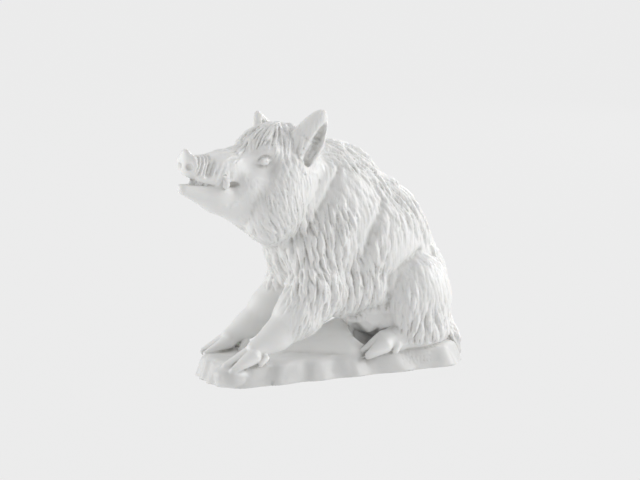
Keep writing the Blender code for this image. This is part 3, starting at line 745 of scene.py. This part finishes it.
for left in (1, -1):
    from_eye = (on_face - np.array((27.0, 13.0 * left, 115.5))) * np.array((0.6, 0.6, 0.9))
    cover *= soft_step(np.linalg.norm(from_eye, axis=1), 5.0, 9.5)
cover *= 1.0 - soft_step(forward + 0.35 * (110.0 - upward), 38.0, 50.0)
relief *= cover

snout = (soft_step(forward, 52.0, 56.0) * (1.0 - soft_step(forward, 64.2, 66.0))
         * soft_step(upward, 110.0, 113.5))
folds = np.cos(2.0 * math.pi / WRINKLE_STEP * (forward + 0.45 * (upward - 112.0)
                                              + 0.6 * lattice_noise(points, 6.0, 5)))
relief += WRINKLE_DEPTH * snout * (0.5 * folds - 0.5)
from_fold = forward - DEEP_FOLD_PLACE + 0.40 * (upward - 114.0)
deep_fold = (np.exp(-(from_fold / DEEP_FOLD_HALF_WIDTH) ** 2)
             * soft_step(upward, 108.5, 112.0) * (1.0 - soft_step(upward, 117.0, 121.0)))
relief -= DEEP_FOLD_DEPTH * deep_fold

lip_fold = (soft_step(forward, 43.0, 49.0) * (1.0 - soft_step(forward, 53.0, 58.0))
            * soft_step(upward, 103.5, 106.0) * (1.0 - soft_step(upward, 115.0, 121.0)))
folds = np.cos(2.0 * math.pi / LIP_FOLD_STEP * (forward + 0.55 * (upward - 108.0)))
relief += LIP_FOLD_DEPTH * lip_fold * folds

for left in (1, -1):
    beside = np.abs(leftward - 13.6 * left) < 6.0
    along = (forward - 22.6) / EYE_HALF_LENGTH
    bow = np.maximum(1.0 - along ** 2, 0.0)
    height = upward - EYE_LEVEL + 0.12 * (forward - 22.6)
    edge = beside * soft_step(1.25 - np.abs(along), 0.0, 0.35)
    relief += edge * LID_HEIGHT * np.exp(-((height - 1.7 * bow) / 0.75) ** 2)
    relief += edge * 0.5 * LID_HEIGHT * np.exp(-((height + 1.3 * bow) / 0.5) ** 2)
    relief -= edge * 0.5 * np.exp(-((height - 1.7 * bow - 1.8) / 0.5) ** 2)
    relief -= edge * 0.25 * np.exp(-((height + 1.3 * bow + 1.3) / 0.45) ** 2)
    pupil = beside * np.exp(-((forward - 22.9) ** 2 + (upward - 116.8) ** 2) / 0.6)
    relief -= PUPIL_DEPTH * pupil

spots = np.random.default_rng(5)
for left in (1, -1):
    for _ in range(WHISKER_SPOTS):
        place = on_head(spots.uniform(30, 50), 11 * left, spots.uniform(92, 103))
        near = np.linalg.norm(points - place, axis=1) < 9.0
        centre = points[near][np.argmin(np.linalg.norm(points[near] - place, axis=1))]
        relief += SPOT_HEIGHT * np.exp(-((points - centre) ** 2).sum(axis=1) / 0.5)


# The ground
# The plinth's side keeps the marks of the tool that cut it, and its top has low ledges. The hill
# is a little uneven. Below the haunch the side carries a small patch of shallow strokes.
GROUND_DEPTH = 0.7
LEDGE_HEIGHT = 0.5
GROUND_UNEVEN = 0.18
ROCK_UNEVEN = 0.22
STRATUM = 3.4
STRATUM_HEIGHT = 0.08
MARK_ROWS = (9.4, 7.0, 4.6)
MARK_START = 35.0
MARK_STEP = 2.3
MARKS_IN_ROW = 9
MARK_DEPTH = 0.35
MARK_HALF_WIDTH = 0.42

ground = np.clip((1.5 - points[:, 2]) / 2.5, 0.0, 1.0) * (~on_tail)
facing_out = np.clip(1.0 - np.abs(normals[:, 2]) * 1.2, 0.0, 1.0)
turn = np.arctan2(points[:, 1] / PLINTH_WIDTH, points[:, 0] / PLINTH_LENGTH)
cuts = np.abs(lattice_noise(np.stack((turn * 8.0, 0.05 * points[:, 2], 0 * turn), axis=1), 1.0, 9))
foot_free = soft_step(points[:, 2] + PLINTH_HEIGHT, 0.5, 3.5)
relief -= ground * facing_out * foot_free * GROUND_DEPTH * (1.0 - cuts) ** 2
ledges = lattice_noise(points * np.array((0.6, 1.6, 0.5)), 7.0, 21)
relief += LEDGE_HEIGHT * ground * (1.0 - facing_out) * ledges
relief += GROUND_UNEVEN * ground * lattice_noise(points, 4.0, 22)
rock = ROCK_UNEVEN * lattice_noise(points, 9.0, 23)
strata = np.cos(2.0 * math.pi / STRATUM * (points[:, 2] + 1.2 * lattice_noise(points, 9.0, 24)))
relief += on_hill * np.clip((hill - 0.3) / 2.0, 0.0, 1.0) * (rock + STRATUM_HEIGHT * strata)

marks = np.random.default_rng(3)
height_on_side = points[:, 2] + PLINTH_HEIGHT
near_side = (points[:, 1] < -18.0) * facing_out
for row_height in MARK_ROWS:
    for number in range(MARKS_IN_ROW):
        middle = MARK_START + MARK_STEP * (number + marks.uniform(-0.2, 0.2))
        lean = marks.uniform(-0.5, 0.5)
        half_tall = marks.uniform(0.55, 0.95)
        rise = height_on_side - row_height
        across = (points[:, 0] - middle - lean * rise) / MARK_HALF_WIDTH
        stroke = np.exp(-across ** 2) * np.clip((half_tall - np.abs(rise)) / 0.3 + 0.5, 0.0, 1.0)
        relief -= MARK_DEPTH * near_side * stroke


# The finished skin
# The relief is raised on the form, and the skin is thinned where it is smooth. The underside is
# cut level, where the casting was wiped flat on a board before firing. Each point of the skin
# keeps how strongly it was combed, for the hair lines in the glaze.
SKIN_TRIANGLES = 196000
COMBED_FULLY = 0.5

carved = (points + normals * relief[:, None] + top) * MILLIMETRE
blank.data.vertices.foreach_set("co", carved.ravel())
blank.data.update()
polish = blank.modifiers.new("Glaze softening", "SMOOTH")
polish.factor = 0.15
polish.iterations = 1
thinner = blank.modifiers.new("Thinner", "DECIMATE")
thinner.ratio = SKIN_TRIANGLES / (2.0 * len(blank.data.polygons))
thinner.use_collapse_triangulate = True
applied(blank)

skin = bmesh.new()
skin.from_mesh(blank.data)
bmesh.ops.bisect_plane(skin, geom=skin.verts[:] + skin.edges[:] + skin.faces[:], dist=1e-7,
                       plane_co=(0, 0, 0), plane_no=(0, 0, 1), clear_inner=True)
rim = [edge for edge in skin.edges if edge.is_boundary]
bmesh.ops.contextual_create(skin, geom=rim)
bmesh.ops.triangulate(skin, faces=skin.faces[:])
bmesh.ops.recalc_face_normals(skin, faces=skin.faces[:])
skin.to_mesh(blank.data)
skin.free()
blank.data.shade_smooth()

skin_points = np.empty(len(blank.data.vertices) * 3)
blank.data.vertices.foreach_get("co", skin_points)
skin_points = skin_points.reshape(-1, 3) / MILLIMETRE - top
combed = np.zeros(len(skin_points))
finder = Finder(points, 1.2)
for number, near in enumerate(finder.around(skin_points)):
    if len(near):
        closest = near[np.argmin(((points[near] - skin_points[number]) ** 2).sum(axis=1))]
        combed[number] = stroke_depth[closest] * cover[closest]
combing = blank.data.attributes.new("combed", "FLOAT", "POINT")
combing.data.foreach_set("value", np.clip(combed / COMBED_FULLY, 0.0, 1.0))


# The glaze
# Hard white porcelain under a thin satin glaze. The body is faintly warm and lets a little light
# in. The cuts and hollows are painted grey as painted shade, and the plinth's side is painted
# darker as painted shade. Fine hair lines show through the glaze where the coat was combed.
PORCELAIN_WHITE = (0.82, 0.82, 0.81, 1.0)
# Grey painted into the cuts and hollows as painted shade.
CUT_PAINTED_SHADE = (0.52, 0.51, 0.48, 1.0)
# How much darker the plinth's side is painted, as painted shade.
FOOT_PAINTED_SHADE = 0.83
GLAZE_ROUGHNESS = 0.42
HAIR_LINE_SCALE = 620.0
HAIR_LINE_DEPTH = 0.0007

glaze = bpy.data.materials.new("satin_glazed_porcelain")
glaze.use_nodes = True
tree = glaze.node_tree
shader = tree.nodes["Principled BSDF"]
shader.inputs["Metallic"].default_value = 0.0
shader.inputs["IOR"].default_value = 1.5
shader.inputs["Subsurface Weight"].default_value = 0.18
shader.inputs["Subsurface Radius"].default_value = (1.0, 0.8, 0.6)
shader.inputs["Subsurface Scale"].default_value = 0.0012
shader.inputs["Coat Weight"].default_value = 0.20
shader.inputs["Coat Roughness"].default_value = 0.24

place = tree.nodes.new("ShaderNodeTexCoord")
cloud = tree.nodes.new("ShaderNodeTexNoise")
cloud.inputs["Scale"].default_value = 45.0
cloud.inputs["Detail"].default_value = 3.0
tree.links.new(place.outputs["Object"], cloud.inputs["Vector"])

# Painted shade: inward-curving parts of the skin are mixed towards the grey, standing in for the
# shade in the cuts; the cloud adds a random tone on top.
curvature = tree.nodes.new("ShaderNodeNewGeometry")
cut_shade_amount = tree.nodes.new("ShaderNodeMapRange")
cut_shade_amount.inputs["From Min"].default_value = 0.42
cut_shade_amount.inputs["From Max"].default_value = 0.505
tree.links.new(curvature.outputs["Pointiness"], cut_shade_amount.inputs["Value"])
tone_and_cut_shade = tree.nodes.new("ShaderNodeMath")
tone_and_cut_shade.operation = "MULTIPLY_ADD"
tone_and_cut_shade.inputs[1].default_value = 0.25
tree.links.new(cloud.outputs["Fac"], tone_and_cut_shade.inputs[0])
tree.links.new(cut_shade_amount.outputs["Result"], tone_and_cut_shade.inputs[2])
colour = tree.nodes.new("ShaderNodeMix")
colour.data_type = "RGBA"
colour.inputs[6].default_value = CUT_PAINTED_SHADE
colour.inputs[7].default_value = PORCELAIN_WHITE
tree.links.new(tone_and_cut_shade.outputs["Value"], colour.inputs[0])

height_up = tree.nodes.new("ShaderNodeSeparateXYZ")
tree.links.new(place.outputs["Object"], height_up.inputs["Vector"])
# Painted shade: below the plinth's top edge the colour is scaled darker, standing in for the shade
# on the plinth's upright side.
foot = tree.nodes.new("ShaderNodeMapRange")
foot.inputs["From Min"].default_value = 0.010
foot.inputs["From Max"].default_value = 0.014
foot.inputs["To Min"].default_value = FOOT_PAINTED_SHADE
foot.inputs["To Max"].default_value = 1.0
tree.links.new(height_up.outputs["Z"], foot.inputs["Value"])
footed = tree.nodes.new("ShaderNodeVectorMath")
footed.operation = "SCALE"
tree.links.new(colour.outputs[2], footed.inputs["Vector"])
tree.links.new(foot.outputs["Result"], footed.inputs["Scale"])
tree.links.new(footed.outputs["Vector"], shader.inputs["Base Color"])

sheen = tree.nodes.new("ShaderNodeMapRange")
sheen.inputs["From Min"].default_value = 0.3
sheen.inputs["From Max"].default_value = 0.7
sheen.inputs["To Min"].default_value = GLAZE_ROUGHNESS - 0.06
sheen.inputs["To Max"].default_value = GLAZE_ROUGHNESS + 0.08
tree.links.new(cloud.outputs["Fac"], sheen.inputs["Value"])
tree.links.new(sheen.outputs["Result"], shader.inputs["Roughness"])

orange_peel = tree.nodes.new("ShaderNodeTexNoise")
orange_peel.inputs["Scale"].default_value = 900.0
orange_peel.inputs["Detail"].default_value = 2.0
tree.links.new(place.outputs["Object"], orange_peel.inputs["Vector"])
bump = tree.nodes.new("ShaderNodeBump")
bump.inputs["Strength"].default_value = 0.12
bump.inputs["Distance"].default_value = 0.0002
tree.links.new(orange_peel.outputs["Fac"], bump.inputs["Height"])

drawn_out = tree.nodes.new("ShaderNodeMapping")
drawn_out.inputs["Rotation"].default_value = (0.0, math.radians(-8.0), 0.0)
drawn_out.inputs["Scale"].default_value = (1.0, 1.0, 0.13)
tree.links.new(place.outputs["Object"], drawn_out.inputs["Vector"])
hairs = tree.nodes.new("ShaderNodeTexNoise")
hairs.inputs["Scale"].default_value = HAIR_LINE_SCALE
hairs.inputs["Detail"].default_value = 2.0
tree.links.new(drawn_out.outputs["Vector"], hairs.inputs["Vector"])
combing_mask = tree.nodes.new("ShaderNodeAttribute")
combing_mask.attribute_name = "combed"
hair_bump = tree.nodes.new("ShaderNodeBump")
hair_bump.inputs["Distance"].default_value = HAIR_LINE_DEPTH
tree.links.new(combing_mask.outputs["Fac"], hair_bump.inputs["Strength"])
tree.links.new(hairs.outputs["Fac"], hair_bump.inputs["Height"])
tree.links.new(bump.outputs["Normal"], hair_bump.inputs["Normal"])
tree.links.new(hair_bump.outputs["Normal"], shader.inputs["Normal"])

blank.data.materials.clear()
blank.data.materials.append(glaze)
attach(blank, "root")
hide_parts(CAD_NODE)


# The studio
# A plain pale floor that runs into a pale background, in an evenly bright room. Soft lights stand
# high on the right, above, in front, at the side and behind, so the figure's rims are brightest.
FLOOR_SIZE = 6.0
BACKGROUND_LEVEL = 0.838
ROOM_LEVEL = 0.50

floor_shape = bmesh.new()
bmesh.ops.create_grid(floor_shape, x_segments=1, y_segments=1, size=FLOOR_SIZE)
floor_mesh = bpy.data.meshes.new("floor")
floor_shape.to_mesh(floor_mesh)
floor_shape.free()
floor = bpy.data.objects.new("floor", floor_mesh)
bpy.context.scene.collection.objects.link(floor)
paper = bpy.data.materials.new("pale_paper")
paper.use_nodes = True
paper_shader = paper.node_tree.nodes["Principled BSDF"]
paper_shader.inputs["Base Color"].default_value = (0.01, 0.01, 0.01, 1.0)
paper_shader.inputs["Roughness"].default_value = 1.0
paper_shader.inputs["Specular IOR Level"].default_value = 0.0
paper_shader.inputs["Emission Color"].default_value = (1.0, 1.0, 1.0, 1.0)
paper_shader.inputs["Emission Strength"].default_value = BACKGROUND_LEVEL - 0.01
floor_mesh.materials.append(paper)

world = bpy.data.worlds.new("studio")
bpy.context.scene.world = world
world.use_nodes = True
world.node_tree.nodes["Background"].inputs["Color"].default_value = (1.0, 1.0, 1.0, 1.0)
world.node_tree.nodes["Background"].inputs["Strength"].default_value = ROOM_LEVEL


def soft_light(name, place, size, power):
    """Broad rectangular light that faces the figure."""
    data = bpy.data.lights.new(name, "AREA")
    data.shape = "RECTANGLE"
    data.size = size[0]
    data.size_y = size[1]
    data.energy = power
    light = bpy.data.objects.new(name, data)
    light.location = place
    aim = Vector((0.0, 0.0, 0.07)) - Vector(place)
    light.rotation_euler = aim.to_track_quat("-Z", "Y").to_euler()
    bpy.context.scene.collection.objects.link(light)


soft_light("key_light", (1.20, -0.60, 0.70), (0.9, 0.9), 8.0)
soft_light("top_light", (0.00, 0.45, 1.10), (0.6, 0.6), 1.6)
soft_light("front_light", (-1.15, 0.25, 0.20), (0.8, 0.8), 4.6)
soft_light("side_light", (1.15, -0.30, 0.25), (0.6, 0.6), 3.2)
soft_light("right_rim_light", (0.85, 0.70, 0.40), (0.6, 0.6), 4.0)
soft_light("left_rim_light", (-0.85, 0.70, 0.15), (0.6, 0.6), 2.6)


# The camera
# A long lens from ahead of the boar's left side, a little above it.
CAMERA_AZIMUTH = math.radians(-25.0)
CAMERA_ELEVATION = math.radians(10.5)
CAMERA_DISTANCE = 1.5
CAMERA_AIM = Vector((-0.0065, 0.0, 0.077))
PICTURE_WIDTH = 640 * 0.000585

away = Vector((math.sin(CAMERA_AZIMUTH) * math.cos(CAMERA_ELEVATION),
               -math.cos(CAMERA_AZIMUTH) * math.cos(CAMERA_ELEVATION),
               math.sin(CAMERA_ELEVATION)))
camera_data = bpy.data.cameras.new("camera")
camera_data.sensor_width = 36.0
camera_data.lens = 36.0 * CAMERA_DISTANCE / PICTURE_WIDTH
camera = bpy.data.objects.new("camera", camera_data)
camera.location = CAMERA_AIM + away * CAMERA_DISTANCE
camera.rotation_euler = away.to_track_quat("Z", "Y").to_euler()
bpy.context.scene.collection.objects.link(camera)
bpy.context.scene.camera = camera
bpy.context.scene.view_settings.view_transform = "Standard"
